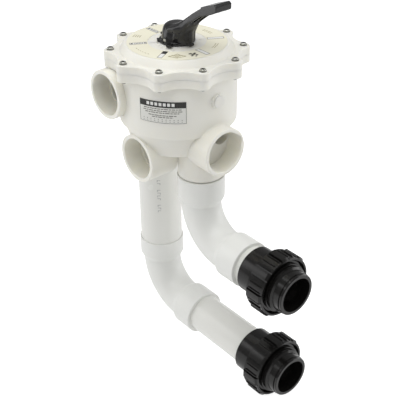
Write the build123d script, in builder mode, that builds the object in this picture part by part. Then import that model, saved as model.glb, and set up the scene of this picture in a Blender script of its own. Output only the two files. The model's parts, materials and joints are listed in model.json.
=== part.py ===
from build123d import *
import os
from math import cos, radians, sin

# A pool filter's multiport valve with its two union-ended plumbing legs.
# Millimetres, +Z up. The two unions face -Y, and the origin is the centre of the
# upper union's open end. The valve's turning axis is vertical, behind the unions.

# ---- where things are ----------------------------------------------------------
valve_y = 255.0                     # turning axis, behind the union mouths
flange_z = 290.5                    # top of the cover's bolted flange
union_pitch = 154.5                 # upper union axis down to the lower one
column_offset = 51.0                # each bottom column, before or behind the turning axis
front_column_y = valve_y - column_offset
back_column_y = valve_y + column_offset
lower_z = -union_pitch

# ---- two-inch pipe and its sockets ---------------------------------------------
pipe_r = 30.15
pipe_bore_r = 26.2
socket_r = 30.3
socket_depth = 29.4
port_r = 36.2                       # outside of the body's three ports
column_r = 34.6                     # outside of its two bottom columns
hub_r = 35.9                        # outside of an elbow's hubs
mouth_chamfer = 0.8
rim_fillet = 1.6                    # outer edge of a port or column

# ---- body ------------------------------------------------------------------------
drum_r = 86.0
chamber_r = 80.0
half_flange = 12.0
parting_z = flange_z - half_flange
drum_foot_z = flange_z - 103.0
bowl_top_r = 81.0
bowl_foot_r = 70.0
bowl_foot_z = flange_z - 140.0
seat_z = flange_z - 88.0
pocket_floor_z = flange_z - 134.0
pocket_step_z = flange_z - 106.0
upper_pocket_r = 62.0
lower_pocket_r = 60.0
pocket_inner_r = 16.0
web_width = 5.0
column_foot_z = flange_z - 180.0
column_socket_depth = 19.0
seal_groove_r = 83.4
seal_groove_half = 1.8
seal_groove_depth = 3.2

# ports: axis position and the plane of the mouth
pump_port_y = valve_y + 46.5
pump_port_z = flange_z - 61.0
pump_mouth_x = -96.5
waste_port_z = flange_z - 150.6
waste_mouth_x = -79.5
return_port_z = flange_z - 126.6
return_mouth_y = valve_y - 104.5
gauge_boss_z = flange_z - 53.0
gauge_boss_r = 10.4
gauge_boss_out = 3.6

# ---- bolted flange --------------------------------------------------------------
screw_count = 10
screw_circle_r = 93.8
lobe_r = 9.6
valley_r = 89.4
flange_edge_fillet = 1.0
parting_chamfer = 0.2               # shows as a fine groove between body and cover
screw_hole_r = 2.8
screw_r = 2.5
screw_head_r = 4.6
screw_head_height = 2.9
screw_head_round = 1.9
screw_recess_long = 4.8
screw_recess_wide = 1.1
screw_recess_deep = 1.3
screw_washer_r = 5.2
screw_washer_thick = 0.6
nut_height = 2.8
nut_across_flats = 8.0

# ---- cover ----------------------------------------------------------------------
crown_height = 9.0                  # label plane above the flange
crown_z = flange_z + crown_height
crown_top_r = 73.5
crown_foot_r = 81.5
crown_thick = 6.0
cover_hollow_r = 68.0
stem_r = 9.5
stem_bore_r = 9.58
gland_r = 15.0
gland_foot_z = flange_z - 20.0
seal_r = 1.6                        # section radius of the two stem seals
plate_inner_r = 41.5
plate_outer_r = 70.8
plate_thick = 0.4

# ---- diverter, spring and handle ---------------------------------------------------
gasket_thick = 2.5
diverter_gap = 0.3
diverter_r = 67.5
diverter_thick = 12.0
sector_outer_r = 60.0
sector_inner_r = 22.0
diverter_z = seat_z + gasket_thick + diverter_gap
diverter_top_z = diverter_z + diverter_thick
spring_r = 20.0
spring_wire_r = 2.0
spring_turns = 6
spring_washer_thick = 1.5
pin_z = flange_z + 15.0
pin_r = 3.0
pin_half_length = 22.7
pin_boss_r = 4.6
handle_washer_thick = 1.0
handle_foot_z = crown_z + handle_washer_thick + 0.35
handle_r = 25.8
handle_pocket_r = 12.5
handle_post_r = 6.2
handle_post_y = 26.0
arm_half = 12.5
grip_half = 13.6
foot_reach = 33.4                   # how far the handle's feet stand out
foot_lift = 0.6                     # and how far they clear its base
arm_wall = 2.6
arm_rib = 2.2

# ---- elbows and unions ------------------------------------------------------------
elbow_reach = 109.0                 # centre to the end of a hub
elbow_hub_length = 45.0
back_hub_trim = 6.4                 # the back elbow's top hub is cut shorter by this
back_sleeve_r = 33.9                # outside of the spacer sleeve round the back pipe
elbow_tube_r = 30.6
elbow_shoulder = 9.0                # length of the taper from hub to bend
elbow_bend_r = elbow_reach - elbow_hub_length
elbow_socket_depth = 38.0
union_rear_y = 85.0
union_face_y = 37.0                 # where sleeve and adapter meet
union_bore_r = 26.5
sleeve_r = 35.3
sleeve_flange_r = 40.4
sleeve_socket_depth = 35.0
adapter_thread_r = 41.2
adapter_lip_r = 31.6
adapter_barrel_r = 32.4
nut_front_y = 24.0
nut_rear_y = 54.0
nut_r = 46.0
nut_rib_r = 48.6                    # top of the grip ribs
nut_rib_width = 11.5
nut_groove_width = 1.6              # beside each rib
nut_groove_r = 44.4
nut_thread_r = 42.0
nut_ribs = 8

# ---- rating label on the drum --------------------------------------------------------
rating_start = 193.9
rating_arc = 44.6
rating_top_z = flange_z - 45.2
rating_foot_z = flange_z - 77.6
rating_thick = 0.35

valve_axis = Axis((0, valve_y, 0), (0, 0, 1))
centre = (0, valve_y)
valve_section = Plane.XZ.offset(-valve_y)

os.makedirs("parts", exist_ok=True)


def save(part, name):
    """Label a finished piece and write it as its own file."""
    part.label = name
    export_step(part, "parts/" + name + ".step")


def flange_outline():
    """The scalloped flange: a lobe round each screw, with wide valleys that run smoothly into the lobes."""
    half_step = radians(180 / screw_count)
    reach = valley_r - lobe_r
    scoop_centre_r = (screw_circle_r**2 - reach**2) / (2 * (screw_circle_r * cos(half_step) - reach))
    share = lobe_r / (scoop_centre_r - reach)
    side_x = screw_circle_r + (scoop_centre_r * cos(half_step) - screw_circle_r) * share
    side_y = scoop_centre_r * sin(half_step) * share
    step = 360 / screw_count
    with BuildSketch() as outline:
        with BuildLine():
            for k in range(screw_count):
                enter = Vector(side_x, -side_y).rotate(Axis.Z, k * step)
                nose = Vector(screw_circle_r + lobe_r, 0).rotate(Axis.Z, k * step)
                leave = Vector(side_x, side_y).rotate(Axis.Z, k * step)
                valley = Vector(valley_r, 0).rotate(Axis.Z, (k + 0.5) * step)
                onward = Vector(side_x, -side_y).rotate(Axis.Z, (k + 1) * step)
                ThreePointArc(enter, nose, leave)
                ThreePointArc(leave, valley, onward)
        make_face()
    return outline.sketch


def flange_edges(piece, height):
    """The scalloped outline of a piece's flange at one height."""
    level = piece.edges().filter_by(
        lambda e: abs((e @ 0).Z - height) < 0.01 and abs((e @ 1).Z - height) < 0.01
    )
    return level.filter_by(lambda e: Vector((e @ 0).X, (e @ 0).Y - valve_y).length > valley_r - 0.2)


def seat_pockets(outer_r):
    """Six wedge-shaped chambers between the webs that carry the gasket."""
    with BuildSketch() as wedges:
        Circle(outer_r)
        Circle(pocket_inner_r, mode=Mode.SUBTRACT)
        for turn in (30, 90, 150):
            Rectangle(3 * outer_r, web_width, rotation=turn, mode=Mode.SUBTRACT)
        fillet(wedges.vertices(), 2.5)
    return wedges.sketch


def sector(start, arc):
    """A wedge of the diverter's face, from one angle round to another."""
    with BuildSketch() as wedge:
        with BuildLine():
            outer = CenterArc(centre, sector_outer_r, start, arc)
            inner = CenterArc(centre, sector_inner_r, start, arc)
            Line(outer @ 0, inner @ 0)
            Line(outer @ 1, inner @ 1)
        make_face()
    return wedge.sketch


flange = flange_outline()
screw_angles = [radians(360 / screw_count * n) for n in range(screw_count)]
screw_places = [(screw_circle_r * cos(a), valve_y + screw_circle_r * sin(a)) for a in screw_angles]
pump_port_screw = screw_places[4]

# ---- valve body: drum, bowl, three ports and two columns in one moulding -----------
with BuildPart() as valve_body:
    with BuildSketch(valve_section):
        with BuildLine():
            Polyline(
                (0, bowl_foot_z), (bowl_foot_r, bowl_foot_z), (bowl_top_r, drum_foot_z - 3),
                (drum_r, drum_foot_z), (drum_r, parting_z), (0, parting_z), (0, bowl_foot_z),
            )
        make_face()
    revolve(axis=valve_axis)
    foot_rings = valve_body.edges().filter_by(GeomType.CIRCLE).sort_by(Axis.Z)
    fillet(foot_rings[0], 6)
    with BuildSketch(Plane.YZ.offset(pump_mouth_x)):
        with Locations((pump_port_y, pump_port_z)):
            Circle(port_r)
    extrude(amount=60)
    with BuildSketch(Plane.YZ.offset(waste_mouth_x)):
        with Locations((valve_y, waste_port_z)):
            Circle(port_r)
    extrude(amount=48)
    with BuildSketch(Plane.XZ.offset(-return_mouth_y)):
        with Locations((0, return_port_z)):
            Circle(port_r)
    extrude(amount=-44)
    with BuildSketch(Plane.XY.offset(column_foot_z)):
        with Locations((0, front_column_y), (0, back_column_y)):
            Circle(column_r)
    extrude(amount=drum_foot_z - 1 - column_foot_z)
    with BuildSketch(Plane.XZ.offset(-(valve_y - drum_r - gauge_boss_out))):
        with Locations((0, gauge_boss_z)):
            Circle(gauge_boss_r)
    extrude(amount=-12)
    # soft corners where the boss, the return port and the waste port leave the wall
    for corner, radius in (
        ((0, valve_y - drum_r, gauge_boss_z + gauge_boss_r), 1.5),
        ((0, valve_y - drum_r, return_port_z + port_r), 2.5),
        ((-drum_r, valve_y, waste_port_z + port_r), 1.5),
    ):
        meeting_curves = valve_body.edges().filter_by(GeomType.BSPLINE)
        fillet(meeting_curves.sort_by_distance(corner)[0], radius)
    rims = valve_body.edges().filter_by(GeomType.CIRCLE).filter_by(lambda e: e.is_closed)
    rims = rims.filter_by(lambda e: min(abs(e.radius - port_r), abs(e.radius - column_r)) < 0.01)
    fillet(rims, rim_fillet)
    with BuildSketch(Plane.XY.offset(parting_z)):
        with Locations(centre):
            add(flange)
    extrude(amount=-half_flange)
    chamfer(flange_edges(valve_body, parting_z), parting_chamfer)

    # the upper chamber, and the six pockets under the seat
    with BuildSketch(Plane.XY.offset(seat_z)):
        with Locations(centre):
            Circle(chamber_r)
    extrude(amount=parting_z - seat_z, mode=Mode.SUBTRACT)
    with BuildSketch(Plane.XY.offset(seat_z)):
        with Locations(centre):
            add(seat_pockets(upper_pocket_r))
    extrude(amount=pocket_step_z - seat_z, mode=Mode.SUBTRACT)
    with BuildSketch(Plane.XY.offset(seat_z)):
        with Locations(centre):
            add(seat_pockets(lower_pocket_r))
    extrude(amount=pocket_floor_z - seat_z, mode=Mode.SUBTRACT)

    # slip sockets and the waterways behind them
    with BuildSketch(Plane.YZ.offset(pump_mouth_x)):
        with Locations((pump_port_y, pump_port_z)):
            Circle(socket_r)
    extrude(amount=socket_depth, mode=Mode.SUBTRACT)
    with BuildSketch(Plane.YZ.offset(pump_mouth_x)):
        with Locations((pump_port_y, pump_port_z)):
            Circle(pipe_bore_r)
    extrude(amount=50, mode=Mode.SUBTRACT)
    with BuildSketch(Plane.YZ.offset(waste_mouth_x)):
        with Locations((valve_y, waste_port_z)):
            Circle(socket_r)
    extrude(amount=socket_depth, mode=Mode.SUBTRACT)
    with BuildSketch(Plane.YZ.offset(waste_mouth_x)):
        with Locations((valve_y, waste_port_z)):
            Circle(pipe_bore_r)
    extrude(amount=44, mode=Mode.SUBTRACT)
    with BuildSketch(Plane.XZ.offset(-return_mouth_y)):
        with Locations((0, return_port_z)):
            Circle(socket_r)
    extrude(amount=-socket_depth, mode=Mode.SUBTRACT)
    with BuildSketch(Plane.XZ.offset(-return_mouth_y)):
        with Locations((18, return_port_z + 9)):
            Circle(13)
    extrude(amount=-60, mode=Mode.SUBTRACT)
    with BuildSketch(Plane.XY.offset(column_foot_z)):
        with Locations((0, front_column_y), (0, back_column_y)):
            Circle(socket_r)
    extrude(amount=column_socket_depth, mode=Mode.SUBTRACT)
    # each column's waterway keeps to one side of the web above it
    for column_y, side in ((front_column_y, -1), (back_column_y, 1)):
        with BuildSketch(Plane.XY.offset(column_foot_z)):
            with Locations((0, column_y)):
                Circle(22)
            with Locations((-side * 22, column_y)):
                Rectangle(50, 60, mode=Mode.SUBTRACT)
        extrude(amount=50, mode=Mode.SUBTRACT)

    # seal groove round the chamber, screw holes, gauge plug hole
    with BuildSketch(Plane.XY.offset(parting_z)):
        with Locations(centre):
            Circle(seal_groove_r + seal_groove_half)
            Circle(seal_groove_r - seal_groove_half, mode=Mode.SUBTRACT)
    extrude(amount=-seal_groove_depth, mode=Mode.SUBTRACT)
    with BuildSketch(Plane.XY.offset(parting_z)):
        with Locations(*screw_places):
            Circle(screw_hole_r)
    extrude(amount=-40, mode=Mode.SUBTRACT)
    with BuildSketch(Plane.XZ.offset(-(valve_y - drum_r - gauge_boss_out))):
        with Locations((0, gauge_boss_z)):
            Circle(6.6)
    extrude(amount=-8, mode=Mode.SUBTRACT)
    # a slot in the crown of the pump port lets the nut above it turn
    with BuildSketch(Plane.XY.offset(parting_z - half_flange)):
        with Locations(pump_port_screw):
            Circle(7.2)
    extrude(amount=-nut_height - 1.5, mode=Mode.SUBTRACT)
    mouth_planes = (
        Plane.YZ.offset(pump_mouth_x), Plane.YZ.offset(waste_mouth_x), Plane.XZ.offset(-return_mouth_y),
    )
    mouths = valve_body.edges().filter_by(GeomType.CIRCLE)
    mouths = mouths.filter_by(lambda e: abs(e.radius - socket_r) < 0.01)
    mouths = mouths.filter_by(lambda e: min(abs(p.to_local_coords(e @ 0).Z) for p in mouth_planes) < 0.01)
    chamfer(mouths, mouth_chamfer)
save(valve_body.part, "valve_body")

# ---- cover -----------------------------------------------------------------------
with BuildPart() as cover:
    with BuildSketch(Plane.XY.offset(parting_z)):
        with Locations(centre):
            add(flange)
    extrude(amount=half_flange)
    chamfer(flange_edges(cover, parting_z), parting_chamfer)
    fillet(flange_edges(cover, flange_z), flange_edge_fillet)
    with BuildSketch(valve_section):
        with BuildLine():
            Polyline(
                (0, parting_z), (crown_foot_r, parting_z), (crown_foot_r, flange_z),
                (crown_top_r, crown_z), (0, crown_z), (0, parting_z),
            )
        make_face()
    revolve(axis=valve_axis)
    top_rings = cover.edges().filter_by(GeomType.CIRCLE).sort_by(Axis.Z)
    fillet(top_rings[-1], 2.5)
    with BuildSketch(Plane.XY.offset(parting_z)):
        with Locations(centre):
            Circle(cover_hollow_r)
            Circle(gland_r, mode=Mode.SUBTRACT)
    extrude(amount=crown_z - crown_thick - parting_z, mode=Mode.SUBTRACT)
    with BuildSketch(Plane.XY.offset(gland_foot_z)):
        with Locations(centre):
            Circle(gland_r)
    extrude(amount=crown_z - crown_thick - gland_foot_z)
    # stiffening ribs inside, between the gland and the outer wall
    for turn in range(0, 360, 60):
        rib = Plane.XY.offset(flange_z - 8)
        with BuildSketch(rib):
            with Locations(centre):
                with PolarLocations(48, 1, start_angle=turn):
                    Rectangle(42, 4)
        extrude(amount=crown_z - crown_thick - flange_z + 8)
    with BuildSketch(Plane.XY.offset(gland_foot_z)):
        with Locations(centre):
            Circle(stem_bore_r)
    extrude(amount=60, mode=Mode.SUBTRACT)
    for seal_z in (flange_z - 12, flange_z - 2):
        with BuildSketch(Plane.XY.offset(seal_z - seal_r - 0.15)):
            with Locations(centre):
                Circle(stem_bore_r + 2 * seal_r + 0.15)
        extrude(amount=2 * seal_r + 0.3, mode=Mode.SUBTRACT)
    with BuildSketch(Plane.XY.offset(parting_z)):
        with Locations(*screw_places):
            Circle(screw_hole_r)
    extrude(amount=40, mode=Mode.SUBTRACT)
save(cover.part, "cover")

with BuildPart() as position_plate:
    with BuildSketch(Plane.XY.offset(crown_z)):
        with Locations(centre):
            Circle(plate_outer_r)
            Circle(plate_inner_r, mode=Mode.SUBTRACT)
    extrude(amount=plate_thick)
save(position_plate.part, "position_plate")

rating_edge = Plane(
    origin=(0, valve_y, 0),
    x_dir=(cos(radians(rating_start)), sin(radians(rating_start)), 0),
    z_dir=(sin(radians(rating_start)), -cos(radians(rating_start)), 0),
)
with BuildPart() as rating_label:
    with BuildSketch(rating_edge):
        with Locations((drum_r + rating_thick / 2, (rating_top_z + rating_foot_z) / 2)):
            Rectangle(rating_thick, rating_top_z - rating_foot_z)
    revolve(axis=valve_axis, revolution_arc=rating_arc)
save(rating_label.part, "rating_label")

with BuildPart() as cover_o_ring:
    with BuildSketch(valve_section):
        with Locations((seal_groove_r, parting_z - 1.6)):
            Circle(1.58)
    revolve(axis=valve_axis)
save(cover_o_ring.part, "cover_o_ring")

# ---- fasteners -------------------------------------------------------------------
head_z = flange_z + screw_washer_thick
with BuildPart() as cover_screws:
    with BuildSketch(Plane.XY.offset(flange_z - 2 * half_flange - nut_height - 1.2)):
        with Locations(*screw_places):
            Circle(screw_r)
    extrude(amount=head_z - flange_z + 2 * half_flange + nut_height + 1.2)
    with BuildSketch(Plane.XY.offset(head_z)):
        with Locations(*screw_places):
            Circle(screw_head_r)
    extrude(amount=screw_head_height)
    rims = cover_screws.edges().filter_by(GeomType.CIRCLE).group_by(Axis.Z)[-1]
    fillet(rims, screw_head_round)
    with BuildSketch(Plane.XY.offset(head_z + screw_head_height)):
        with Locations(*screw_places):
            Rectangle(screw_recess_long, screw_recess_wide)
            Rectangle(screw_recess_wide, screw_recess_long)
    extrude(amount=-screw_recess_deep, mode=Mode.SUBTRACT)
save(cover_screws.part, "cover_screws")

with BuildPart() as cover_washers:
    with BuildSketch(Plane.XY.offset(flange_z)):
        with Locations(*screw_places):
            Circle(screw_washer_r)
            Circle(screw_hole_r, mode=Mode.SUBTRACT)
    extrude(amount=screw_washer_thick)
save(cover_washers.part, "cover_washers")

with BuildPart() as cover_nuts:
    with BuildSketch(Plane.XY.offset(flange_z - 2 * half_flange)):
        with Locations(*screw_places):
            RegularPolygon(nut_across_flats / 2, 6, major_radius=False)
            Circle(screw_r, mode=Mode.SUBTRACT)
    extrude(amount=-nut_height)
save(cover_nuts.part, "cover_nuts")

with BuildPart() as gauge_plug:
    with BuildSketch(Plane.XZ.offset(-(valve_y - drum_r - gauge_boss_out - 1.4))):
        with Locations((0, gauge_boss_z)):
            Circle(9.0)
    extrude(amount=-1.4)
    with BuildSketch(Plane.XZ.offset(-(valve_y - drum_r - gauge_boss_out))):
        with Locations((0, gauge_boss_z)):
            Circle(6.6)
    extrude(amount=-7)
    chamfer(gauge_plug.edges().filter_by(GeomType.CIRCLE).sort_by(Axis.Y)[0], 0.6)
save(gauge_plug.part, "gauge_plug")

# ---- inside: gasket, diverter, spring and seals -------------------------------------
with BuildPart() as spider_gasket:
    with BuildSketch(Plane.XY.offset(seat_z)):
        with Locations(centre):
            Circle(diverter_r)
            add(seat_pockets(upper_pocket_r), mode=Mode.SUBTRACT)
    extrude(amount=gasket_thick)
save(spider_gasket.part, "spider_gasket")

with BuildPart() as diverter:
    with BuildSketch(Plane.XY.offset(diverter_z)):
        with Locations(centre):
            Circle(diverter_r)
    extrude(amount=diverter_thick)
    # stiffening webs and the stem's foot
    with BuildSketch(Plane.XY.offset(diverter_top_z)):
        with Locations(centre):
            Circle(diverter_r)
            Circle(diverter_r - 4, mode=Mode.SUBTRACT)
            with PolarLocations(40, 6, start_angle=30):
                Rectangle(54, 4)
    extrude(amount=9)
    with BuildSketch(Plane.XY.offset(diverter_top_z)):
        with Locations(centre):
            Circle(14)
    extrude(amount=12)
    with BuildSketch(Plane.XY.offset(diverter_top_z)):
        with Locations(centre):
            Circle(stem_r)
    extrude(amount=pin_z + 7 - diverter_top_z)
    chamfer(diverter.edges().filter_by(GeomType.CIRCLE).sort_by(Axis.Z)[-1], 1.5)
    # one wedge goes right through, from the upper chamber to one pocket
    with BuildSketch(Plane.XY.offset(diverter_z)):
        add(sector(274, 52))
    extrude(amount=40, mode=Mode.SUBTRACT)
    # a hollow under the disc joins two pockets on the other side
    with BuildSketch(Plane.XY.offset(diverter_z)):
        add(sector(94, 112))
    extrude(amount=8, mode=Mode.SUBTRACT)
    with BuildSketch(Plane.YZ.offset(-stem_r - 5)):
        with Locations((valve_y, pin_z)):
            Circle(pin_r)
    extrude(amount=2 * stem_r + 10, mode=Mode.SUBTRACT)
save(diverter.part, "diverter")

spring_foot_z = diverter_top_z + 13
spring_head_z = crown_z - crown_thick - spring_washer_thick
coil_rise = spring_head_z - spring_foot_z - 2 * spring_wire_r - 0.4
with BuildPart() as diverter_spring:
    with BuildLine() as coil:
        Helix(
            pitch=coil_rise / spring_turns, height=coil_rise, radius=spring_r,
            center=(0, valve_y, spring_foot_z + spring_wire_r + 0.2),
        )
    with BuildSketch(Plane(origin=coil.line @ 0, z_dir=coil.line % 0)):
        Circle(spring_wire_r)
    sweep(path=coil.line, is_frenet=True)
save(diverter_spring.part, "diverter_spring")

with BuildPart() as spring_cup:
    with BuildSketch(Plane.XY.offset(diverter_top_z + 12)):
        with Locations(centre):
            Circle(24)
            Circle(stem_r, mode=Mode.SUBTRACT)
    extrude(amount=1)
save(spring_cup.part, "spring_cup")

with BuildPart() as spring_washer:
    with BuildSketch(Plane.XY.offset(spring_head_z)):
        with Locations(centre):
            Circle(26)
            Circle(gland_r + 0.5, mode=Mode.SUBTRACT)
    extrude(amount=spring_washer_thick)
save(spring_washer.part, "spring_washer")

with BuildPart() as stem_o_rings:
    with BuildSketch(valve_section):
        with Locations((stem_r + seal_r + 0.06, flange_z - 12), (stem_r + seal_r + 0.06, flange_z - 2)):
            Circle(seal_r)
    revolve(axis=valve_axis)
save(stem_o_rings.part, "stem_o_rings")

with BuildPart() as handle_washer:
    with BuildSketch(Plane.XY.offset(crown_z)):
        with Locations(centre):
            Circle(handle_r + 1.5)
            Circle(stem_bore_r, mode=Mode.SUBTRACT)
    extrude(amount=handle_washer_thick)
save(handle_washer.part, "handle_washer")

with BuildPart() as handle_pin:
    with BuildSketch(Plane.YZ.offset(-pin_half_length)):
        with Locations((valve_y, pin_z)):
            Circle(pin_r)
    extrude(amount=2 * pin_half_length)
    chamfer(handle_pin.edges().filter_by(GeomType.CIRCLE), 0.5)
save(handle_pin.part, "handle_pin")

# ---- handle: a bell over the stem and one long hollow arm --------------------------------
bell_profile = [
    (0, handle_foot_z), (handle_r, handle_foot_z), (handle_r, flange_z + 13), (22.4, flange_z + 13.6),
    (21.5, flange_z + 18), (20.8, flange_z + 24), (19.5, flange_z + 29.4), (17, flange_z + 34),
    (12.5, flange_z + 36.4), (6, flange_z + 37.4), (0, flange_z + 37.6),
]
handle_feet = ((30, 28.4), (90, foot_reach), (150, 28.4), (210, foot_reach), (270, foot_reach))
# side outlines of the arm, as (behind the turning axis, above the flange)
arm_top = [
    (3, 36.4), (-4, 37.6), (-12.5, 40.6), (-23.4, 46.6), (-34, 54.3), (-45, 61.8), (-55, 68.5), (-64, 74.2),
]
grip_top = [(-66.5, 77.3), (-72, 79.5), (-84, 83.8), (-93, 87)]
grip_end = [(-93, 87), (-97, 84.5), (-96.5, 77)]
grip_under = [(-96.5, 77), (-89, 73), (-79, 68.8), (-66.5, 64)]
arm_under = [(-64, 63.4), (-55, 57.5), (-45, 50), (-34.5, 40.6), (-26, 30.4), (-21, 20), (-17, 13)]
# the flared root of the arm, as two cross-sections: (half width, above the flange) from the foot up
root_at_axis = [(21.5, 14), (20.8, 24), (19.5, 29.4), (17, 34), (12.5, 36.4)]
root_up_arm = [(13.6, 43), (13.4, 48), (13.1, 52), (12.8, 55.5), (11.8, 57.2)]
channel_roof = [(-30, 39), (-34, 47), (-45, 57.5), (-55, 64), (-65, 70), (-79, 76), (-90, 80)]
channel_mouth = [(-92, 73), (-79, 66), (-65, 60), (-55, 54), (-45, 46.5), (-34.5, 37), (-30, 31)]


def beside(outline):
    """The points of a side outline, placed over the turning axis and the flange."""
    return [(valve_y + y, flange_z + z) for y, z in outline]


with BuildPart() as handle:
    with BuildSketch(valve_section):
        with BuildLine():
            Polyline(*bell_profile, (0, handle_foot_z))
        make_face()
    revolve(axis=valve_axis)
    with BuildSketch(Plane.YZ.offset(-arm_half)):
        with BuildLine():
            top = Spline(*beside(arm_top))
            under = Spline(*beside(arm_under))
            Polyline(top @ 1, *beside([(-68, 77), (-68, 65.5)]), under @ 0)
            Line(under @ 1, top @ 0)
        make_face()
    extrude(amount=2 * arm_half)
    with BuildSketch(Plane.YZ.offset(-grip_half)):
        with BuildLine():
            grip = Spline(*beside(grip_top))
            Polyline(*beside(grip_end))
            belly = Spline(*beside(grip_under))
            Line(belly @ 1, grip @ 0)
        make_face()
    extrude(amount=2 * grip_half)
    for behind, section in ((0, root_at_axis), (-38, root_up_arm)):
        with BuildSketch(Plane.XZ.offset(-(valve_y + behind))):
            with BuildLine():
                right_side = [(x, flange_z + z) for x, z in section]
                left_side = [(-x, flange_z + z) for x, z in reversed(section)]
                Polyline(*right_side, *left_side, right_side[0])
            make_face()
    loft()
    # the two channels under the arm, either side of its middle rib
    for channel_x in (-arm_half + arm_wall, arm_rib / 2):
        with BuildSketch(Plane.YZ.offset(channel_x)):
            with BuildLine():
                roof = Spline(*beside(channel_roof))
                mouth = Spline(*beside(channel_mouth))
                Line(roof @ 1, mouth @ 0)
                Line(mouth @ 1, roof @ 0)
            make_face()
        extrude(amount=arm_half - arm_wall - arm_rib / 2, mode=Mode.SUBTRACT)
    # the round post under the arm's root and the feet round the rim
    with BuildSketch(Plane.XY.offset(handle_foot_z + 1)):
        with Locations((0, valve_y - handle_post_y)):
            Circle(handle_post_r)
    extrude(amount=29)
    with BuildSketch(Plane.XY.offset(handle_foot_z + foot_lift)):
        with Locations(centre):
            for turn, reach in handle_feet:
                with PolarLocations(reach - 5, 1, start_angle=turn):
                    Rectangle(10, 7.4)
    extrude(amount=3.4)
    with BuildSketch(Plane.YZ.offset(-pin_half_length + 0.5)):
        with Locations((valve_y, pin_z)):
            Circle(pin_boss_r)
    extrude(amount=2 * pin_half_length - 1)
    with BuildSketch(Plane.XY.offset(handle_foot_z)):
        with Locations(centre):
            Circle(handle_pocket_r)
    extrude(amount=16, mode=Mode.SUBTRACT)
    with BuildSketch(Plane.YZ.offset(-40)):
        with Locations((valve_y, pin_z)):
            Circle(pin_r + 0.06)
    extrude(amount=80, mode=Mode.SUBTRACT)
save(handle.part, "handle")

# ---- pipes ------------------------------------------------------------------------
column_socket_z = column_foot_z + column_socket_depth


def vertical_pipe(column_y, union_z, name):
    """A cut of pipe from a column's socket down into its elbow."""
    foot_z = union_z + elbow_reach - elbow_socket_depth
    with BuildPart() as pipe:
        with BuildSketch(Plane.XY.offset(foot_z)):
            with Locations((0, column_y)):
                Circle(pipe_r)
                Circle(pipe_bore_r, mode=Mode.SUBTRACT)
        extrude(amount=column_socket_z - foot_z)
    save(pipe.part, name)


def level_pipe(column_y, union_z, name):
    """A cut of pipe from an elbow forward into its union's sleeve."""
    rear_y = column_y - elbow_reach + elbow_socket_depth
    front_y = union_rear_y - sleeve_socket_depth
    with BuildPart() as pipe:
        with BuildSketch(Plane.XZ.offset(-front_y)):
            with Locations((0, union_z)):
                Circle(pipe_r)
                Circle(pipe_bore_r, mode=Mode.SUBTRACT)
        extrude(amount=-(rear_y - front_y))
    save(pipe.part, name)


def elbow(column_y, union_z, name, trim=0):
    """A long-radius elbow: a hub on top, cut shorter by a trim, a quarter bend, a hub at the front."""
    turn_y = column_y - elbow_bend_r
    turn_z = union_z + elbow_bend_r
    top_hub = Plane(origin=(0, column_y, turn_z), z_dir=(0, 0, 1))
    front_hub = Plane(origin=(0, turn_y, union_z), z_dir=(0, -1, 0))
    with BuildPart() as bend:
        with BuildLine(Plane.YZ) as route:
            CenterArc((turn_y, turn_z), elbow_bend_r, 0, -90)
        with BuildSketch(Plane(origin=(0, column_y, turn_z), z_dir=(0, 0, -1))):
            Circle(elbow_tube_r)
        sweep(path=route.line)
        hubs = ((top_hub, elbow_hub_length - trim), (front_hub, elbow_hub_length))
        for end, hub_length in hubs:
            with BuildSketch(end):
                Circle(elbow_tube_r + 0.8)
            with BuildSketch(end.offset(elbow_shoulder)):
                Circle(hub_r)
            loft()
            with BuildSketch(end.offset(elbow_shoulder)):
                Circle(hub_r)
            extrude(amount=hub_length - elbow_shoulder)
        hub_rings = bend.edges().filter_by(GeomType.CIRCLE)
        hub_rings = hub_rings.filter_by(lambda e: abs(e.radius - hub_r) < 0.01)
        fillet(hub_rings, 1.2)
        with BuildSketch(Plane(origin=(0, column_y, turn_z), z_dir=(0, 0, -1))):
            Circle(pipe_bore_r)
        sweep(path=route.line, mode=Mode.SUBTRACT)
        for end, hub_length in hubs:
            with BuildSketch(end):
                Circle(pipe_bore_r)
            extrude(amount=hub_length, mode=Mode.SUBTRACT)
            with BuildSketch(end.offset(elbow_hub_length - elbow_socket_depth)):
                Circle(pipe_r)
            extrude(amount=elbow_socket_depth, mode=Mode.SUBTRACT)
    save(bend.part, name)


vertical_pipe(front_column_y, 0, "front_nipple")
vertical_pipe(back_column_y, lower_z, "back_pipe")
elbow(front_column_y, 0, "front_elbow")
elbow(back_column_y, lower_z, "back_elbow", back_hub_trim)
level_pipe(front_column_y, 0, "upper_nipple")
level_pipe(back_column_y, lower_z, "lower_pipe")

# the spacer sleeve stands on the back elbow's rim and reaches up to the column's foot
sleeve_foot_z = lower_z + elbow_reach - back_hub_trim
with BuildPart() as back_sleeve:
    with BuildSketch(Plane.XY.offset(sleeve_foot_z)):
        with Locations((0, back_column_y)):
            Circle(back_sleeve_r)
            Circle(pipe_r + 0.1, mode=Mode.SUBTRACT)
    extrude(amount=column_foot_z - sleeve_foot_z)
save(back_sleeve.part, "back_sleeve")


# ---- unions -----------------------------------------------------------------------
def ring_from(profile, union_z):
    """Revolve a closed (radius, distance behind the mouth) outline about a union's axis."""
    with BuildPart() as ring:
        with BuildSketch(Plane.YZ):
            with BuildLine():
                Polyline(*[(y, union_z + r) for r, y in profile], (profile[0][1], union_z + profile[0][0]))
            make_face()
        revolve(axis=Axis((0, 0, union_z), (0, 1, 0)))
    return ring.part


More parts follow.
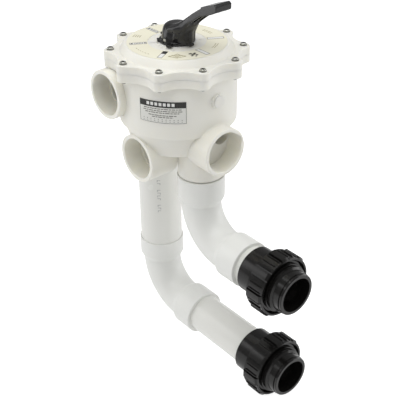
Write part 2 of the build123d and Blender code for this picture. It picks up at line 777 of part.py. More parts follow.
sleeve_profile = [
    (union_bore_r, union_face_y), (sleeve_flange_r, union_face_y), (sleeve_flange_r, 43),
    (sleeve_r, 43), (sleeve_r, union_rear_y - 1.5), (sleeve_r - 1.5, union_rear_y),
    (pipe_r, union_rear_y), (pipe_r, union_rear_y - sleeve_socket_depth),
    (union_bore_r, union_rear_y - sleeve_socket_depth),
]
adapter_profile = [
    (union_bore_r, 0), (adapter_lip_r - 0.8, 0), (adapter_lip_r, 0.8),
    (adapter_lip_r, 3.2), (31.0, 3.6), (31.0, 4.6), (adapter_barrel_r, 5.0), (adapter_barrel_r, 15.5),
    (35.6, 17.5), (35.6, 19.0), (34.2, 19.4), (34.2, 22.0), (37.8, 22.6), (37.8, 24.4), (36.4, 25.0),
    (36.4, 27.6), (40.2, 28.2), (adapter_thread_r, 29.2), (adapter_thread_r, 36.7),
    (34.8, 36.7), (34.8, 33.5), (31.2, 33.5), (31.2, 36.7), (union_bore_r, 36.7),
]
nut_bore_profile = [
    (0, nut_front_y - 1), (nut_thread_r + 1.5, nut_front_y - 1), (nut_thread_r, nut_front_y + 1.5),
    (nut_thread_r, 43.4), (sleeve_r + 0.4, 43.4), (sleeve_r + 0.4, nut_rear_y + 1), (0, nut_rear_y + 1),
]
nut_envelope_profile = [
    (0, nut_front_y), (45.4, nut_front_y), (nut_rib_r, nut_front_y + 3.0),
    (nut_rib_r, nut_rear_y - 2.5), (45.8, nut_rear_y), (0, nut_rear_y),
]

for union_z, place in ((0, "upper"), (lower_z, "lower")):
    save(ring_from(sleeve_profile, union_z), place + "_union_sleeve")
    save(ring_from(adapter_profile, union_z), place + "_union_adapter")
    with BuildPart() as union_o_ring:
        with BuildSketch(Plane.YZ):
            with Locations((35.1, union_z + 33)):
                Circle(1.58)
        revolve(axis=Axis((0, 0, union_z), (0, 1, 0)))
    save(union_o_ring.part, place + "_union_o_ring")
    nut_envelope = ring_from(nut_envelope_profile, union_z)
    nut_bore = ring_from(nut_bore_profile, union_z)
    with BuildPart() as union_nut:
        with BuildSketch(Plane.XZ.offset(-nut_front_y)):
            with Locations((0, union_z)):
                Circle(nut_r)
                with PolarLocations(nut_groove_r + 5, nut_ribs):
                    Rectangle(10, nut_rib_width + 2 * nut_groove_width, mode=Mode.SUBTRACT)
                with PolarLocations(nut_rib_r - 4, nut_ribs):
                    Rectangle(8, nut_rib_width)
        extrude(amount=-(nut_rear_y - nut_front_y))
        add(nut_envelope, mode=Mode.INTERSECT)
        add(nut_bore, mode=Mode.SUBTRACT)
    save(union_nut.part, place + "_union_nut")
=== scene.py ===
import json
from math import cos, pi, radians, sin

import bmesh
import bpy
from mathutils import Matrix, Vector


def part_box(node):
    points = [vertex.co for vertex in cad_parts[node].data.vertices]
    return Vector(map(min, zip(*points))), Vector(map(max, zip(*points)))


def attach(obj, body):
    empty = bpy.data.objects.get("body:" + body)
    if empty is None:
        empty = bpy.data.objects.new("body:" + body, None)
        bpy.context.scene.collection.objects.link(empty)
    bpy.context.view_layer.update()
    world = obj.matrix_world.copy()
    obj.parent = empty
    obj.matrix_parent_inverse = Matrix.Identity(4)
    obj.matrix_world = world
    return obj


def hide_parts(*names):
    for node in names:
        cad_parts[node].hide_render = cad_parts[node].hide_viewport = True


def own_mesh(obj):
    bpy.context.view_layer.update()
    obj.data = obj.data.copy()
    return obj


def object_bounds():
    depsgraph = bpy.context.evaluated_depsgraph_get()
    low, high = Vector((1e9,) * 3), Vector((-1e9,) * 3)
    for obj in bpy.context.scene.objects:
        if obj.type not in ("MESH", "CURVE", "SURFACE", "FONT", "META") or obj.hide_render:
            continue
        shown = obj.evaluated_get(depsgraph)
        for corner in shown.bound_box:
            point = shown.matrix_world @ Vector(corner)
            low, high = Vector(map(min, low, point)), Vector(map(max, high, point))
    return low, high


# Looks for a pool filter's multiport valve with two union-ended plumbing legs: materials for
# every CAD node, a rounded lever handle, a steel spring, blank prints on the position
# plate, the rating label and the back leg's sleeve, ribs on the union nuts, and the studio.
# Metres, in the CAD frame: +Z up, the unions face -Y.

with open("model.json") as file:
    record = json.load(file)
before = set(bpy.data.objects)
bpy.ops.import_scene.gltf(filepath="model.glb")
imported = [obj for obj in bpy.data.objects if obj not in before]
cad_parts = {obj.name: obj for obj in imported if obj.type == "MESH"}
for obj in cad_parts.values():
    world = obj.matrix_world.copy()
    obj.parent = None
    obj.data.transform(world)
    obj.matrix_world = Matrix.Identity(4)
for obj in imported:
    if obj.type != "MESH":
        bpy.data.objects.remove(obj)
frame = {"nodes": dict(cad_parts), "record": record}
cad_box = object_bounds()
scene = bpy.context.scene
scene.view_settings.view_transform = "Standard"

MM = 0.001
plate_low, plate_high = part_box("position_plate")
label_low, label_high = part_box("rating_label")
AXIS = Vector(((plate_low.x + plate_high.x) / 2, (plate_low.y + plate_high.y) / 2, 0))
PLATE_Z = plate_high.z
SELECTOR_ABOVE_FLANGE = 9 * MM      # the selector's joint is placed this far over the flange
PRINT_THICK = 0.12 * MM
PRINT_SUNK = 0.05 * MM


def joint(name):
    """The record's entry for a joint."""
    return next(entry for entry in frame["record"]["behaviour"]["joints"] if entry["name"] == name)


FLANGE_Z = joint("selector_turn")["pos_m"][2] - SELECTOR_ABOVE_FLANGE


# ---- small helpers for shader nodes ------------------------------------------------------
def new_material(name):
    """A node material, its tree and its shader."""
    material = bpy.data.materials.new(name)
    material.use_nodes = True
    return material, material.node_tree, material.node_tree.nodes["Principled BSDF"]


def noise(tree, scale, detail=3.0, stretch=(1, 1, 1)):
    """Noise over the object's own coordinates."""
    coords = tree.nodes.new("ShaderNodeTexCoord")
    mapping = tree.nodes.new("ShaderNodeMapping")
    mapping.inputs["Scale"].default_value = stretch
    texture = tree.nodes.new("ShaderNodeTexNoise")
    texture.inputs["Scale"].default_value = scale
    texture.inputs["Detail"].default_value = detail
    tree.links.new(coords.outputs["Object"], mapping.inputs["Vector"])
    tree.links.new(mapping.outputs["Vector"], texture.inputs["Vector"])
    return texture.outputs[0]


def remap(tree, value, low, high, new_low, new_high):
    """A value moved from one range to another, held inside the new one."""
    node = tree.nodes.new("ShaderNodeMapRange")
    for name, number in (("From Min", low), ("From Max", high), ("To Min", new_low), ("To Max", new_high)):
        node.inputs[name].default_value = number
    tree.links.new(value, node.inputs["Value"])
    return node.outputs["Result"]


def mix(tree, factor, first, second):
    """Colours mixed by a factor; the first is a colour or a socket, the second a colour."""
    node = tree.nodes.new("ShaderNodeMix")
    node.data_type = "RGBA"
    tree.links.new(factor, node.inputs[0])
    if isinstance(first, tuple):
        node.inputs[6].default_value = (*first, 1)
    else:
        tree.links.new(first, node.inputs[6])
    node.inputs[7].default_value = (*second, 1)
    return node.outputs[2]


def crevices(tree, reach, strength):
    """How far a point lies in a crevice, from 0 to the strength."""
    node = tree.nodes.new("ShaderNodeAmbientOcclusion")
    node.samples = 10
    node.inputs["Distance"].default_value = reach
    return remap(tree, node.outputs["AO"], 0.35, 0.95, strength, 0)


def relief(tree, shader, height, strength, distance):
    """Bump on the shader's normal."""
    node = tree.nodes.new("ShaderNodeBump")
    node.inputs["Strength"].default_value = strength
    node.inputs["Distance"].default_value = distance
    tree.links.new(height, node.inputs["Height"])
    tree.links.new(node.outputs["Normal"], shader.inputs["Normal"])


# ---- materials ------------------------------------------------------------------------------
def plastic(name, colour, aged, shade_tint, rough, speck=None, grain=1500, coat=0.0, depth=0.00016, shade_depth=0.2,
            specular=0.5, glow=0.0):
    """Moulded or extruded plastic: drifting tint, specks, painted shade in crevices, uneven gloss, fine
    grain.
    """
    material, tree, shader = new_material(name)
    tint = mix(tree, remap(tree, noise(tree, 9, 1), 0.25, 0.75, 0, 1), colour, aged)
    if speck:
        dots = remap(tree, noise(tree, 1300, 2), 0.70, 0.76, 0, 0.55)
        tint = mix(tree, dots, tint, speck)
    # painted shade: ambient occlusion darkens crevices and hollows, such as the port interiors, towards the
    # shade colour
    tint = mix(tree, crevices(tree, 0.010, shade_depth), tint, shade_tint)
    tree.links.new(tint, shader.inputs["Base Color"])
    gloss = remap(tree, noise(tree, 30, 3), 0.3, 0.7, rough - 0.02, rough + 0.04)
    tree.links.new(gloss, shader.inputs["Roughness"])
    relief(tree, shader, noise(tree, grain, 3), 0.22, depth)
    shader.inputs["Specular IOR Level"].default_value = specular
    shader.inputs["Subsurface Weight"].default_value = glow
    shader.inputs["Subsurface Radius"].default_value = (1.0, 0.95, 0.8)
    shader.inputs["Subsurface Scale"].default_value = 6 * MM
    shader.inputs["Coat Weight"].default_value = coat
    shader.inputs["Coat Roughness"].default_value = 0.18
    return material


def metal(name, colour, tarnish, rough):
    """Worn metal: tarnish in patches and crevices, fine scratches."""
    material, tree, shader = new_material(name)
    tint = mix(tree, remap(tree, noise(tree, 260, 4), 0.4, 0.65, 0, 1), colour, tarnish)
    tint = mix(tree, crevices(tree, 0.004, 0.8), tint, (0.03, 0.03, 0.028))
    tree.links.new(tint, shader.inputs["Base Color"])
    shader.inputs["Metallic"].default_value = 1.0
    gloss = remap(tree, noise(tree, 700, 3), 0.3, 0.7, rough - 0.08, rough + 0.12)
    tree.links.new(gloss, shader.inputs["Roughness"])
    relief(tree, shader, noise(tree, 900, 4, (1, 6, 1)), 0.3, 0.0001)
    return material


def print_ink(name, colour, faded):
    """Printing ink, slightly uneven."""
    material, tree, shader = new_material(name)
    tint = mix(tree, remap(tree, noise(tree, 900, 3), 0.45, 0.7, 0, 1), colour, faded)
    tree.links.new(tint, shader.inputs["Base Color"])
    shader.inputs["Roughness"].default_value = 0.5
    relief(tree, shader, noise(tree, 2600, 2), 0.15, 0.00004)
    return material


# the fourth colour of each plastic is the colour of its painted crevice shade
materials = {
    "white_abs": plastic("white_abs", (0.87, 0.86, 0.795), (0.85, 0.835, 0.765), (0.46, 0.43, 0.32), 0.36,
                         speck=(0.62, 0.6, 0.52), coat=0.1, glow=0.4, shade_depth=0.1),
    "pvc_fitting": plastic("pvc_fitting", (0.86, 0.865, 0.835), (0.84, 0.845, 0.81), (0.5, 0.49, 0.43), 0.3,
                           speck=(0.72, 0.72, 0.68), coat=0.15, shade_depth=0.1),
    "pvc_pipe": plastic("pvc_pipe", (0.84, 0.84, 0.80), (0.82, 0.82, 0.775), (0.5, 0.49, 0.43), 0.24,
                        speck=(0.72, 0.72, 0.68), grain=900, coat=0.2, depth=0.00008, shade_depth=0.1),
    "handle_black": plastic("handle_black", (0.010, 0.010, 0.011), (0.013, 0.013, 0.0135),
                            (0.004, 0.004, 0.004), 0.17, speck=(0.02, 0.02, 0.02), depth=0.00005,
                            specular=0.45),
    "union_black": plastic("union_black", (0.007, 0.0065, 0.006), (0.009, 0.0085, 0.008),
                           (0.003, 0.003, 0.003), 0.16, speck=(0.02, 0.02, 0.02), depth=0.00006,
                           specular=0.4),
    "position_plate": plastic("position_plate", (0.86, 0.83, 0.66), (0.87, 0.845, 0.70),
                              (0.5, 0.46, 0.32), 0.42, grain=2400, depth=0.00005),
    "rating_label": plastic("rating_label", (0.76, 0.76, 0.72), (0.73, 0.73, 0.69),
                            (0.5, 0.5, 0.45), 0.45, grain=2400, depth=0.00005),
    "steel": metal("steel", (0.56, 0.56, 0.52), (0.34, 0.34, 0.30), 0.34),
    "dark_steel": metal("dark_steel", (0.10, 0.095, 0.085), (0.05, 0.045, 0.04), 0.48),
    "grey_noryl": plastic("grey_noryl", (0.24, 0.24, 0.25), (0.2, 0.2, 0.2), (0.08, 0.08, 0.08), 0.5),
    "white_washer": plastic("white_washer", (0.84, 0.84, 0.82), (0.8, 0.8, 0.78), (0.4, 0.4, 0.36), 0.4),
    "seal_rubber": plastic("seal_rubber", (0.02, 0.02, 0.02), (0.03, 0.03, 0.03), (0.01, 0.01, 0.01), 0.62,
                           speck=(0.08, 0.08, 0.08)),
}
ink = {
    "black": print_ink("ink_black", (0.02, 0.02, 0.018), (0.035, 0.034, 0.03)),
    "grey": print_ink("ink_grey", (0.13, 0.125, 0.105), (0.2, 0.19, 0.16)),
    "olive": print_ink("ink_olive", (0.36, 0.32, 0.17), (0.45, 0.41, 0.25)),
    "white": print_ink("ink_white", (0.84, 0.84, 0.82), (0.78, 0.78, 0.75)),
    "pipe": print_ink("ink_pipe", (0.42, 0.42, 0.42), (0.55, 0.55, 0.55)),
}
for subpart in frame["record"]["subparts"]:
    node_mesh = frame["nodes"][subpart["node"]].data
    node_mesh.materials.clear()
    node_mesh.materials.append(materials[subpart["material_slot"]])


# ---- pieces ---------------------------------------------------------------------------------
def add_piece(name, mesh, material, body):
    """Puts a finished mesh in the scene, riding on a CAD body."""
    mesh.materials.clear()
    mesh.materials.append(material)
    piece = bpy.data.objects.new(name, mesh)
    scene.collection.objects.link(piece)
    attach(piece, body)
    return piece


def baked(piece):
    """The mesh of an object with its modifiers applied; the object itself is removed."""
    bpy.context.view_layer.update()
    depsgraph = bpy.context.evaluated_depsgraph_get()
    mesh = bpy.data.meshes.new_from_object(piece.evaluated_get(depsgraph))
    bpy.data.objects.remove(piece)
    return mesh


# The flank that blends the lever's bell into its arm, as cross-sections in millimetres: how far
# out along the arm from the turning axis, half width, and foot and top above the flange.
FLANK = ((2, 20.4, 26.8, 35.6), (15, 18.6, 26.2, 40.6), (26, 15.4, 24, 46.8), (36, 12.9, 40.5, 54.4))
FLANK_FOOT = ((13.5, 18.6, 10.5, 35), (22, 15.4, 10.5, 37), (29, 9.5, 10.5, 37))
FLANK_CORNER = 2.6                  # exponent of the cross-sections' rounded outline
FLANK_POINTS = 24                   # round each cross-section
POCKET_R = 13.5                     # the stem's pocket under the bell, which isn't smoothed further
POCKET_TOP = 30                     # and all that lies above it is
BLEND_FROM, BLEND_RISE = 15, 7      # the further smoothing sets in over these heights,
BLEND_TO, BLEND_FADE = 46, 10       # and ends this far out along the arm
VOXEL = 0.45 * MM
EDGE_ROUNDS = 9                     # smoothing of all edges
FLANK_ROUNDS = 180                  # further smoothing of the flank


def squared(value):
    """A sine or cosine pushed outwards, so that a circle becomes a rounded rectangle."""
    return abs(value) ** (2 / FLANK_CORNER) * (1 if value >= 0 else -1)


def flank_section(bm, out, half, low, high):
    """The points of one rounded cross-section of the lever's flank."""
    points = []
    for k in range(FLANK_POINTS):
        turn = 2 * pi * k / FLANK_POINTS
        height = (low + high) / 2 + squared(sin(turn)) * (high - low) / 2
        x = AXIS.x + squared(cos(turn)) * half * MM
        points.append(bm.verts.new((x, AXIS.y - out * MM, FLANGE_Z + height * MM)))
    return points


def clamped(value):
    """A value held between 0 and 1."""
    return min(1, max(0, value))


def smoothing(piece, name, rounds):
    """Adds smoothing to an object."""
    modifier = piece.modifiers.new(name, "SMOOTH")
    modifier.factor = 0.5
    modifier.iterations = rounds
    return modifier


def lever_handle():
    """The lever with moulded, rounded edges and a blended flank instead of the CAD's sharp ones."""
    bm = bmesh.new()
    bm.from_mesh(frame["nodes"]["handle"].data)
    for near, far in (*zip(FLANK, FLANK[1:]), *zip(FLANK_FOOT, FLANK_FOOT[1:])):
        hull = flank_section(bm, *near) + flank_section(bm, *far)
        bmesh.ops.convex_hull(bm, input=hull)
    source = bpy.data.meshes.new("handle_draft")
    bm.to_mesh(source)
    bm.free()
    draft = bpy.data.objects.new("handle_draft", source)
    scene.collection.objects.link(draft)
    remesh = draft.modifiers.new("even", "REMESH")
    remesh.mode = "VOXEL"
    remesh.voxel_size = VOXEL
    smoothing(draft, "soften", EDGE_ROUNDS)
    even_mesh = baked(draft)
    draft = bpy.data.objects.new("handle_draft", even_mesh)
    scene.collection.objects.link(draft)
    flank = draft.vertex_groups.new(name="flank")
    for vertex in even_mesh.vertices:
        out = (AXIS.y - vertex.co.y) / MM
        height = (vertex.co.z - FLANGE_Z) / MM
        from_axis = Vector((vertex.co.x, vertex.co.y - AXIS.y)).length / MM
        share = clamped((height - BLEND_FROM) / BLEND_RISE) * clamped((BLEND_TO - out) / BLEND_FADE)
        if share > 0 and (from_axis > POCKET_R or height > POCKET_TOP):
            flank.add([vertex.index], share, "REPLACE")
    smoothing(draft, "blend", FLANK_ROUNDS).vertex_group = flank.name
    mesh = baked(draft)
    for polygon in mesh.polygons:
        polygon.use_smooth = True
    piece = add_piece("lever_handle", mesh, materials["handle_black"], "handle")
    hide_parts("handle")


def squeezed_spring():
    """The diverter's spring, in steel, riding on the valve."""
    mesh = frame["nodes"]["diverter_spring"].data.copy()
    piece = add_piece("coil_spring", mesh, materials["steel"], "valve")
    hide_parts("diverter_spring")
    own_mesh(piece)


lever_handle()
squeezed_spring()


# ---- prints: thin closed patches on a surface ------------------------------------------------
def on_plate(azimuth):
    """Places (sideways, radius, height) on the position plate, about one azimuth in degrees."""
    across = Vector((-sin(radians(azimuth)), cos(radians(azimuth)), 0))
    out = Vector((cos(radians(azimuth)), sin(radians(azimuth)), 0))

    def place(u, v, height):
        return AXIS + across * (u * MM) + out * (v * MM) + Vector((0, 0, PLATE_Z + height))

    return place


def round_drum(azimuth, radius, centre):
    """Places (round the drum, up, out) on a vertical cylinder, from one azimuth in degrees."""

    def place(u, v, height):
        angle = radians(azimuth) + u * MM / radius
        return centre + Vector((cos(angle), sin(angle), 0)) * (radius + height) + Vector((0, 0, v * MM))

    return place


def raised(place):
    """The same places, one print's thickness higher."""

    def higher(u, v, height):
        return place(u, v, height + PRINT_THICK)

    return higher


def tube(bm, rows):
    """One closed shape through rows of four vertices each."""
    for near, far in zip(rows, rows[1:]):
        for side in range(4):
            bm.faces.new((near[side], far[side], far[(side + 1) % 4], near[(side + 1) % 4]))
    bm.faces.new(rows[0])
    bm.faces.new(tuple(reversed(rows[-1])))


def patch(bm, place, corners, steps=1):
    """One closed thin patch between four corners, given round the outside, split along its length."""
    rows = []
    for i in range(steps + 1):
        t = i / steps
        low = Vector(corners[0]).lerp(Vector(corners[1]), t)
        high = Vector(corners[3]).lerp(Vector(corners[2]), t)
        around = ((low, -PRINT_SUNK), (high, -PRINT_SUNK), (high, PRINT_THICK), (low, PRINT_THICK))
        rows.append([bm.verts.new(place(*point, height)) for point, height in around])
    tube(bm, rows)


def bar(bm, place, u0, v0, u1, v1, steps=1):
    """A rectangular patch."""
    patch(bm, place, ((u0, v0), (u1, v0), (u1, v1), (u0, v1)), steps)


def stroke(bm, place, points, width):
    """A line of a given width through points, one patch to each run."""
    for start, end in zip(points, points[1:]):
        start, end = Vector(start), Vector(end)
        side = (end - start).orthogonal().normalized() * width / 2
        patch(bm, place, (start - side, end - side, end + side, start + side))


def frame_line(bm, place, u0, v0, u1, v1, width, steps=1):
    """The outline of a rectangle."""
    bar(bm, place, u0, v0, u1, v0 + width, steps)
    bar(bm, place, u0, v1 - width, u1, v1, steps)
    bar(bm, place, u0, v0 + width, u0 + width, v1 - width)
    bar(bm, place, u1 - width, v0 + width, u1, v1 - width)


def closed_mesh(name, bm):
    """The finished mesh of closed shapes, with its faces turned outwards."""
    bmesh.ops.recalc_face_normals(bm, faces=bm.faces)
    mesh = bpy.data.meshes.new(name)
    bm.to_mesh(mesh)
    bm.free()
    return mesh


def printed(name, bm, colour):
    """Finishes a print as one piece fixed to the valve."""
    add_piece(name, closed_mesh(name, bm), ink[colour], "valve")


def dashes(bm, place, start, end, level, height, lengths, gap, steps=1):
    """A row of blank bars that stands for a line of small print."""
    u = start
    index = 0
    while u < end:
        stop = min(u + lengths[index % len(lengths)], end)
        bar(bm, place, u, level, stop, level + height, steps)
        u = stop + gap
        index += 1


# The position plate, in millimetres: six outlined boxes stand on it along its radii.
BOX_IN, BOX_OUT, BOX_HALF, BOX_LINE = 43.0, 67.0, 3.5, 0.75
BOX_AZIMUTHS = (30, 90, 150, 210, 270, 330)
STRIPED_BOXES = (30, 90, 150)
HALF_DARK_BOX = 210
STRIPES, STRIPE_PITCH, STRIPE_THICK = 6, 2.1, 1.1
ARROW_AZIMUTH, BLOT_AZIMUTH = 231, 254
ARROW_OUTER = [(-12, 58), (-7, 60.5), (-3.5, 62.5), (0, 64.5), (3.5, 62.5), (7, 60.5), (12, 58)]
ARROW_INNER = [(-12, 58), (-6, 56), (-2, 52), (0, 50), (2, 52), (6, 56), (12, 58)]
ARROW_LEVELS = (54.5, 57.2, 59.8, 62)
# the dark patches of the blot: middle sideways, middle radius, half width, half height
BLOT = ((-3.0, 52.5, 3.2, 1.9), (3.0, 53.6, 2.4, 2.2), (-0.8, 56.8, 4.2, 2.0),
        (3.8, 59.4, 2.2, 1.7), (-3.4, 60.6, 2.3, 1.4), (1.2, 63.2, 1.9, 1.3))
# fields of small bars between the boxes: azimuth, radius, half spread in degrees, rows
SMALL_FIELDS = ((181, 64.5, 15, 1), (122, 58, 4, 4), (300, 58, 9, 2), (0, 57, 10, 2), (62, 57, 9, 3))
BARS_IN_ROW, SMALL_ROW_PITCH = 6, 3.2


def plate_boxes():
    """The six outlined boxes, three of them striped and one with a dark half."""
    fill, outline, dark = bmesh.new(), bmesh.new(), bmesh.new()
    for azimuth in BOX_AZIMUTHS:
        spot = on_plate(azimuth)
        bar(fill, spot, -BOX_HALF + BOX_LINE, BOX_IN + BOX_LINE, BOX_HALF - BOX_LINE, BOX_OUT - BOX_LINE)
        frame_line(outline, spot, -BOX_HALF, BOX_IN, BOX_HALF, BOX_OUT, BOX_LINE)
    for azimuth in STRIPED_BOXES:
        spot = raised(on_plate(azimuth))
        bar(dark, spot, -1.6, BOX_IN + 1.5, 1.6, BOX_IN + 3.4)
        for row in range(STRIPES):
            foot = BOX_IN + 5.5 + STRIPE_PITCH * row
            bar(outline, spot, -1.5, foot, 1.5, foot + STRIPE_THICK)
        bar(dark, spot, -1.6, BOX_OUT - 4.4, 1.6, BOX_OUT - 1.8)
    bar(dark, raised(on_plate(HALF_DARK_BOX)), -BOX_HALF, BOX_IN, BOX_HALF, BOX_IN + 9.5)
    printed("plate_boxes", fill, "white")
    printed("plate_box_lines", outline, "grey")
    printed("plate_box_marks", dark, "black")


def plate_fields():
    """A drawing of a flow, a dark blot and rows of small bars, in the fields between the boxes."""
    drawing, blot_marks, thin = bmesh.new(), bmesh.new(), bmesh.new()
    front = on_plate(ARROW_AZIMUTH)
    stroke(drawing, front, ARROW_OUTER, 1.3)
    stroke(drawing, front, ARROW_INNER, 1.1)
    for level in ARROW_LEVELS:
        reach = 7.5 - 0.9 * (level - ARROW_LEVELS[0])
        bar(drawing, front, -reach, level, reach, level + 1.0)
    blot = on_plate(BLOT_AZIMUTH)
    for u, v, half_u, half_v in BLOT:
        patch(blot_marks, blot, ((u - half_u, v - half_v * 0.3), (u + half_u * 0.4, v - half_v),
                                 (u + half_u, v + half_v * 0.4), (u - half_u * 0.5, v + half_v)))
    for azimuth, radius, spread, rows in SMALL_FIELDS:
        for row in range(rows):
            foot = radius + SMALL_ROW_PITCH * row - 3
            for step in range(BARS_IN_ROW):
                along = (step + 0.2 + 0.15 * (row % 2)) / BARS_IN_ROW
                spot = on_plate(azimuth - spread + 2 * spread * along)
                bar(thin, spot, -spread * 0.06 - 0.5, foot, spread * 0.06 + 0.6, foot + 0.9)
    printed("plate_flow_drawing", drawing, "olive")
    printed("plate_warning_marks", blot_marks, "black")
    printed("plate_small_print", thin, "olive")


# The rating label on the drum, in millimetres and degrees: a dark header with blank blocks, and
# rows of dashes and two rows of ticks under it. Rows are given from the label's top edge down.
LABEL_R = 86.3                      # its outer face, from the turning axis
LABEL_FROM, LABEL_TO = 193.9, 238.5
LABEL_HALF = radians(LABEL_TO - LABEL_FROM) / 2 * LABEL_R
LABEL_FOOT, LABEL_TOP = label_low.z / MM, label_high.z / MM
LABEL_BENDS = 16                    # runs that a bar across the whole label is split into
HEADER_HEIGHT, HEADER_BLOCKS, BLOCK_PITCH, BLOCK_WIDTH = 8.6, 7, 6.0, 4.1
DASH_ROWS = ((11.2, 27), (14.2, 28), (17.0, 25), (20.8, 20), (23.4, 15))
DASH_LENGTHS, DASH_GAP, DASH_HEIGHT = (4.6, 2.6, 6.2, 3.4), 0.9, 1.15
TICKS, TICK_PITCH, TICK_START = 11, 5.5, -27.5


def label_prints():
    """The header, its blank blocks, and the small print of the rating label."""
    label = round_drum((LABEL_FROM + LABEL_TO) / 2, LABEL_R * MM, AXIS)
    header, small, blocks = bmesh.new(), bmesh.new(), bmesh.new()
    header_foot = LABEL_TOP - HEADER_HEIGHT
    bar(header, label, -LABEL_HALF, header_foot, LABEL_HALF, LABEL_TOP, LABEL_BENDS)
    frame_line(header, label, -LABEL_HALF, LABEL_FOOT, LABEL_HALF, header_foot, 0.45, LABEL_BENDS)
    for k in range(HEADER_BLOCKS):
        left = -22.5 + BLOCK_PITCH * k
        bar(blocks, raised(label), left, LABEL_TOP - 6.7, left + BLOCK_WIDTH, LABEL_TOP - 2.1, 2)
    for level, reach in DASH_ROWS:
        foot = LABEL_TOP - level - 0.75
        dashes(small, label, -reach, reach, foot, DASH_HEIGHT, DASH_LENGTHS, DASH_GAP, 2)
    for k in range(TICKS):
        u = TICK_START + TICK_PITCH * k
        bar(small, label, u - 0.5, LABEL_TOP - 27.6, u + 0.5, LABEL_TOP - 26.5)
        bar(small, label, u - 0.7, LABEL_TOP - 30.2, u + 0.7, LABEL_TOP - 29.5)
    printed("label_header", header, "black")
    printed("label_header_blocks", blocks, "white")
    printed("label_small_print", small, "grey")


MARK_GROUPS = (1, 3, 2, 4, 3)       # marks in each group down the sleeve
MARK_AZIMUTH = 229
MARK_HALF, MARK_PITCH, GROUP_GAP = 2.6, 5.2, 7


def sleeve_marks():
    """Faint marks down the back leg, as extruded pipe carries: short bars with a leg at one end."""
    low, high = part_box("back_sleeve")
    centre = Vector(((low.x + high.x) / 2, (low.y + high.y) / 2, 0))
    side = round_drum(MARK_AZIMUTH, (high.x - low.x) / 2, centre)
    marks = bmesh.new()
    level = high.z / MM - 6
    for group in MARK_GROUPS:
        for k in range(group):
            leg = -MARK_HALF + 4.3 * (k % 2)
            bar(marks, side, -MARK_HALF, level - 0.9, MARK_HALF, level, 3)
            bar(marks, side, leg, level - 3.4, leg + 0.9, level - 0.9)
            level -= MARK_PITCH
        level -= GROUP_GAP
    printed("pipe_marks", marks, "pipe")


POINTER_AZIMUTHS = (150, 222, 330)
POINTER_THICK = 4                   # times a print's thickness


def cover_pointers():
    """Three low pointers moulded on the cover, between the washer and the plate."""
    bm = bmesh.new()
    for azimuth in POINTER_AZIMUTHS:
        spot = on_plate(azimuth)

        def on_cover(u, v, height, spot=spot):
            return spot(u, v, height * POINTER_THICK + plate_low.z - PLATE_Z)

        bar(bm, on_cover, -1.5, 31.5, 1.5, 37)
        patch(bm, on_cover, ((-2.6, 37), (2.6, 37), (0.4, 40), (-0.4, 40)))
    mesh = closed_mesh("cover_pointers", bm)
    add_piece("cover_pointers", mesh, materials["white_abs"], "valve")


plate_boxes()
plate_fields()
label_prints()
sleeve_marks()
cover_pointers()


# ---- grip ribs on the union nuts --------------------------------------------------------------
RIB_COUNT = 32
RIB_EVERY = 4                       # a large rib of the CAD nut stands at every fourth place
RIB_FOOT = 3.2 * MM                 # inside the nut's skin, measured in from the large ribs' tops
RIB_HEIGHT = 2.5 * MM
RIB_WIDE = 1.9 * MM
# cross-sections along a rib: share of the nut's length, and of the rib's height
RIB_ENDS = ((0.10, 0.3), (0.16, 1), (0.84, 1), (0.90, 0.3))


def nut_ribs(place):
    """Fine ribs along a union nut, between its large ones."""
    low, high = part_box(place + "_union_nut")
    middle = (low + high) / 2
    outer = (high.x - low.x) / 2
    bm = bmesh.new()
    for k in range(RIB_COUNT):
        if k % RIB_EVERY == 0:
            continue
        angle = 2 * pi * k / RIB_COUNT
        out = Vector((cos(angle), 0, sin(angle)))
        across = Vector((-sin(angle), 0, cos(angle)))
        rows = []
        for share, tall in RIB_ENDS:
            foot = middle + out * (outer - RIB_FOOT)
            foot.y = low.y + share * (high.y - low.y)
            top = foot + out * RIB_HEIGHT * tall
            section = (foot - across * RIB_WIDE / 2, foot + across * RIB_WIDE / 2,
                       top + across * RIB_WIDE / 3, top - across * RIB_WIDE / 3)
            rows.append([bm.verts.new(point) for point in section])
        tube(bm, rows)
    name = place + "_nut_ribs"
    add_piece(name, closed_mesh(name, bm), materials["union_black"], place + "_nut")


for place in ("upper", "lower"):
    nut_ribs(place)

# ---- camera ---------------------------------------------------------------------------------
CAMERA_AZIMUTH = radians(-40.34)
CAMERA_ELEVATION = radians(31.87)
CAMERA_ROLL = radians(-0.285)
CAMERA_DISTANCE = 1.02674
CAMERA_TARGET = Vector((-0.12009, 0.0656, 0.17463))
CAMERA_LENS = 73.75



def direction(azimuth, elevation):
    """The way from the object to a viewer or light; azimuth 0 is in front of the unions."""
    return Vector((cos(elevation) * sin(azimuth), -cos(elevation) * cos(azimuth), sin(elevation)))


back = direction(CAMERA_AZIMUTH, CAMERA_ELEVATION)
level_right = Vector((cos(CAMERA_AZIMUTH), sin(CAMERA_AZIMUTH), 0))
level_up = back.cross(level_right)
right = level_right * cos(CAMERA_ROLL) + level_up * sin(CAMERA_ROLL)
up = level_up * cos(CAMERA_ROLL) - level_right * sin(CAMERA_ROLL)
camera_data = bpy.data.cameras.new("camera")
camera_data.lens = CAMERA_LENS
camera_data.sensor_width = 36
camera = bpy.data.objects.new("camera", camera_data)
camera.matrix_world = Matrix.Translation(CAMERA_TARGET + back * CAMERA_DISTANCE) @ Matrix(
    (right, up, back)).transposed().to_4x4()
scene.collection.objects.link(camera)
scene.camera = camera

# ---- studio ---------------------------------------------------------------------------------
MIDDLE = (cad_box[0] + cad_box[1]) / 2
FLOOR_REACH = 6.0
FLOOR_LIGHT, FLOOR_TO_CAMERA = 0.45, 0.9      # its glow for lighting the object, and as seen
WORLD_LIGHT, WORLD_TO_CAMERA = 0.30, 1.0


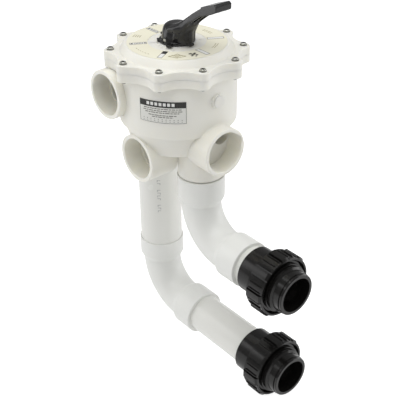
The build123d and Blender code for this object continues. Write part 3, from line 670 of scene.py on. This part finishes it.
def seen_or_lighting(tree, lighting, seen):
    """A strength that differs between what the viewer sees directly and what lights the object."""
    path = tree.nodes.new("ShaderNodeLightPath")
    return remap(tree, path.outputs["Is Camera Ray"], 0, 1, lighting, seen)


def floor_plane():
    """A large white floor just touching the lowest point."""
    signs = ((-1, -1), (1, -1), (1, 1), (-1, 1))
    corners = [(x * FLOOR_REACH, y * FLOOR_REACH, cad_box[0].z) for x, y in signs]
    mesh = bpy.data.meshes.new("floor")
    mesh.from_pydata(corners, [], [(0, 1, 2, 3)])
    material, tree, shader = new_material("floor_white")
    shader.inputs["Base Color"].default_value = (0.6, 0.6, 0.6, 1)
    shader.inputs["Roughness"].default_value = 0.9
    shader.inputs["Emission Color"].default_value = (1, 1, 1, 1)
    tree.links.new(seen_or_lighting(tree, FLOOR_LIGHT, FLOOR_TO_CAMERA), shader.inputs["Emission Strength"])
    mesh.materials.append(material)
    floor = bpy.data.objects.new("floor", mesh)
    scene.collection.objects.link(floor)


def softbox(name, azimuth, elevation, distance, width, height, power):
    """A rectangular studio light aimed at the middle of the object."""
    data = bpy.data.lights.new(name, "AREA")
    data.shape = "RECTANGLE"
    data.size = width
    data.size_y = height
    data.energy = power
    light = bpy.data.objects.new(name, data)
    way = direction(radians(azimuth), radians(elevation))
    light.location = MIDDLE + way * distance
    light.rotation_euler = way.to_track_quat("Z", "Y").to_euler()
    scene.collection.objects.link(light)


def white_world():
    """White behind the object; a softer white for lighting it."""
    world = bpy.data.worlds.new("white")
    world.use_nodes = True
    tree = world.node_tree
    background = tree.nodes["Background"]
    background.inputs["Color"].default_value = (1, 1, 1, 1)
    tree.links.new(seen_or_lighting(tree, WORLD_LIGHT, WORLD_TO_CAMERA), background.inputs["Strength"])
    scene.world = world


floor_plane()
white_world()
softbox("top", -40, 84, 1.5, 1.6, 1.6, 15)
softbox("left", -140, 15, 1.5, 0.8, 1.5, 5.5)
softbox("right", 60, 15, 1.5, 0.8, 1.5, 7)
softbox("strip", -80, 55, 1.4, 0.12, 1.1, 2.2)
